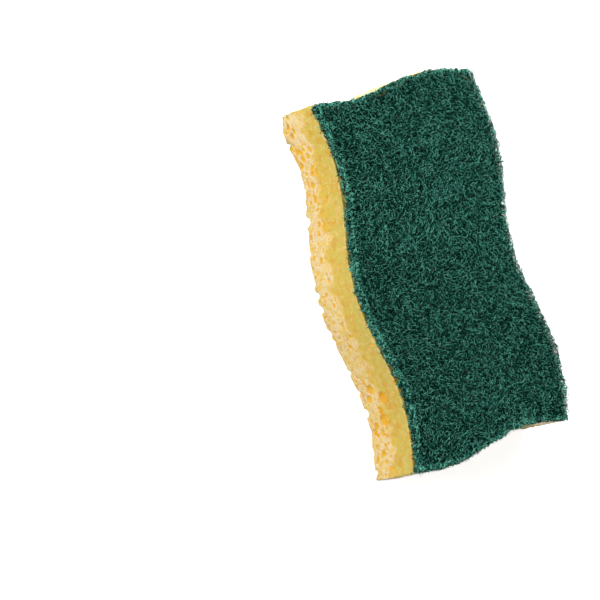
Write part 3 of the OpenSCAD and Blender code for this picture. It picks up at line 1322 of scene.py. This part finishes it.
@dataclass(frozen=True)
class ResinCoatedFibre:
    """Crimped polyester fibre bonded with green resin and fine mineral grit.

    It is satin, and its tone varies from strand to strand; the darkest tones, round the web's meshes and deep
    in the web, are painted shade.
    """

    dark: str = "#00140E"
    green: str = "#165C4D"
    light: str = "#82E4CA"
    stain: str = "#6B4226"
    grit_and_glint: str = "#B4CDBE"
    green_at: float = 0.55
    roughness: float = 0.5

    def build(self) -> bpy.types.Material:
        """Makes the material: a tone for each strand, painted shade round the web's meshes, pale flecks of
        grit and painted glints, and a rare brown stain.

        Returns:
            The material.
        """
        material, nodes = new_material("resin_coated_fibre")
        place = nodes.place()
        uneven = nodes.noise(place, 0.5 * MM, 2.0)
        tone = nodes.math("MULTIPLY_ADD", uneven, 0.6, nodes.attribute("shade"))
        # Painted shade in the web's meshes, about 0.8 mm wide: the fibres round the middle of a mesh are
        # darkened as if they lay deep in its shadow
        columns = nodes.add("VectorMath", {0: place, 1: (1, 1, 0.35)}, operation="MULTIPLY").outputs[0]
        meshes = nodes.cells(columns, 0.78 * MM).outputs["Distance"]
        tone = nodes.math("ADD", tone, nodes.ramp(meshes, 0.2, 0.46, -2.0, 0.25))
        even = nodes.ramp(tone, 0.4, 1.5)
        colour = nodes.blend(nodes.ramp(even, 0.0, self.green_at), self.dark, self.green)
        colour = nodes.blend(nodes.ramp(even, self.green_at, 1.0), colour, self.light)
        stained = nodes.ramp(nodes.noise(place, 1.9 * MM), 0.84, 0.88)
        colour = nodes.blend(stained, colour, self.stain)
        # Rare pale flecks: partly mineral grit, partly painted glints on the resin
        grit_and_glint_mask = nodes.ramp(nodes.noise(place, 0.7 * MM), 0.83, 0.87)
        colour = nodes.blend(grit_and_glint_mask, colour, self.grit_and_glint)
        nodes.surface({"Base Color": colour, "Roughness": self.roughness, "Specular IOR Level": 0.03})
        return material


@dataclass(frozen=True)
class ShadedCore:
    """The inside of the web, where strands and resin crowd together: its near-black green is painted shade,
    as little light gets in.
    """

    base: float
    # Near-black greens of painted shade
    dark: str = "#02120D"
    light: str = "#0A2C23"
    fleck: str = "#452317"
    glue: str = "#B5852F"

    def build(self) -> bpy.types.Material:
        """Makes the material: near-black green of painted shade with knots of lighter fibre, and adhesive
        near the bonded face.

        Returns:
            The material.
        """
        material, nodes = new_material("core_painted_shade")
        place = nodes.place()
        height = nodes.add("SeparateXYZ", {0: place}).outputs["Z"]
        knots = nodes.noise(place, 1.1 * MM, 3.0)
        colour = nodes.blend(nodes.ramp(knots, 0.4, 0.68), self.dark, self.light)
        brown = nodes.ramp(nodes.noise(place, 1.6 * MM), 0.72, 0.78)
        colour = nodes.blend(brown, colour, self.fleck)
        shifted = nodes.math("MULTIPLY_ADD", nodes.noise(place, 1.5 * MM, 2.0), 5 * MM, height)
        glued = nodes.ramp(shifted, self.base + 3.1 * MM, self.base + 2.6 * MM)
        colour = nodes.blend(glued, colour, self.glue)
        nodes.surface({
            "Base Color": colour, "Roughness": 0.8, "Specular IOR Level": 0.0,
            "Normal": nodes.bump(knots, 1.0, 0.5 * MM)})
        return material


@dataclass(frozen=True)
class Viewpoint:
    """The camera, which looks down on the sponge from its long side.

    It is rolled, so that the sponge's length runs down the frame.
    """

    aim: tuple[float, float, float] = (-1.2 * MM, -69.75 * MM, 23.4 * MM)
    distance: float = 911.3 * MM
    azimuth: float = 0.64
    elevation: float = 48.87
    roll: float = 73.65
    focal_share: float = 2757 / 600
    sensor: float = 36.0

    def place(self) -> bpy.types.Object:
        """Adds the camera and makes it the scene's.

        Returns:
            The camera.
        """
        a, e, r = (math.radians(x) for x in (self.azimuth, self.elevation, self.roll))
        back = Vector((math.sin(a) * math.cos(e), -math.cos(a) * math.cos(e), math.sin(e)))
        level = Vector((math.cos(a), math.sin(a), 0))
        above = back.cross(level)
        up = math.cos(r) * above - math.sin(r) * level
        right = up.cross(back)
        data = bpy.data.cameras.new("camera")
        data.sensor_width = self.sensor
        data.lens = self.sensor * self.focal_share
        data.clip_start, data.clip_end = 0.05, 20
        camera = bpy.data.objects.new("camera", data)
        turned = Matrix((right, up, back)).transposed().to_4x4()
        camera.matrix_world = Matrix.Translation(Vector(self.aim) + back * self.distance) @ turned
        bpy.context.scene.collection.objects.link(camera)
        bpy.context.scene.camera = camera
        return camera


@dataclass(frozen=True)
class SoftLamp:
    """A square area lamp that points at the sponge."""

    name: str
    towards: tuple[float, float, float]
    distance: float
    size: float
    power: float

    def place(self) -> None:
        """Adds the lamp along its direction from the origin."""
        data = bpy.data.lights.new(self.name, "AREA")
        data.shape = "SQUARE"
        data.size = self.size
        data.energy = self.power
        lamp = bpy.data.objects.new(self.name, data)
        away = Vector(self.towards).normalized()
        lamp.location = away * self.distance
        lamp.rotation_mode = "QUATERNION"
        lamp.rotation_quaternion = away.to_track_quat("Z", "Y")
        bpy.context.scene.collection.objects.link(lamp)


@dataclass(frozen=True)
class Studio:
    """A white room without walls: a pale floor, even light from all round and two soft lamps."""

    floor_half: float = 3.0
    floor_colour: str = "#E6E6E6"
    floor_lift: float = 0.8
    ambient: float = 0.24

    def build(self) -> None:
        """Makes the floor, the world and the lamps."""
        bpy.context.scene.view_settings.view_transform = "Standard"
        self.floor()
        self.world()
        SoftLamp("key_lamp", towards=(-0.3, -0.94, 0.5), distance=1.2, size=0.45, power=9.9).place()
        SoftLamp("fill_lamp", towards=(-0.8, 0.6, 0.8), distance=0.42, size=0.22, power=2.1).place()

    def floor(self) -> None:
        """Adds the floor. What the camera sees of it glows a little, so that it reads as white."""
        half = self.floor_half
        corners = np.array([(-half, -half, 0), (half, -half, 0), (half, half, 0), (-half, half, 0)], float)
        floor = make_piece("floor", corners, [np.arange(4)[None]])
        material, nodes = new_material("white_floor")
        path = nodes.add("LightPath")
        seen = nodes.math("MAXIMUM", path.outputs["Is Camera Ray"], path.outputs["Is Glossy Ray"])
        seen = nodes.math("MAXIMUM", seen, path.outputs["Is Transmission Ray"])
        matt = nodes.add("BsdfDiffuse", {"Color": linear(self.floor_colour)}).outputs[0]
        glow = nodes.add("Emission", {"Strength": nodes.math("MULTIPLY", seen, self.floor_lift)}).outputs[0]
        both = nodes.add("AddShader", {0: matt, 1: glow}).outputs[0]
        nodes.add("OutputMaterial", {"Surface": both})
        floor.data.materials.append(material)

    def world(self) -> None:
        """Sets the sky: white where the camera sees it, and an even grey light for all else."""
        world = bpy.data.worlds.new("white_room")
        world.use_nodes = True
        world.node_tree.nodes.clear()
        nodes = NodeBuilder(world.node_tree)
        path = nodes.add("LightPath")
        seen = nodes.math("MAXIMUM", path.outputs["Is Camera Ray"], path.outputs["Is Transmission Ray"])
        strength = nodes.ramp(seen, 0.0, 1.0, self.ambient, 1.0)
        sky = nodes.add("Background", {"Color": linear("#FFFFFF"), "Strength": strength}).outputs[0]
        nodes.add("OutputWorld", {"Surface": sky})
        bpy.context.scene.world = world


def main() -> None:
    """Builds the camera, the studio and the sponge's two layers, in that order."""
    logging.basicConfig(level=logging.INFO, format="%(name)s: %(message)s")
    Viewpoint().place()
    Studio().build()
    block_low, block_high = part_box(Layer.BLOCK.value)
    pad_low, pad_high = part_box(Layer.PAD.value)
    outline = Outline(block_high.x - block_low.x, block_high.y - block_low.y)
    block = CelluloseBlock(outline, block_high.z)
    block.build(DampCellulose(block.pore_band, block_high.z).build())
    web = ScouringWeb(outline, pad_low.z, pad_high.z - pad_low.z)
    web.build(ResinCoatedFibre().build(), ShadedCore(pad_low.z).build())


if __name__ == "__main__":
    main()
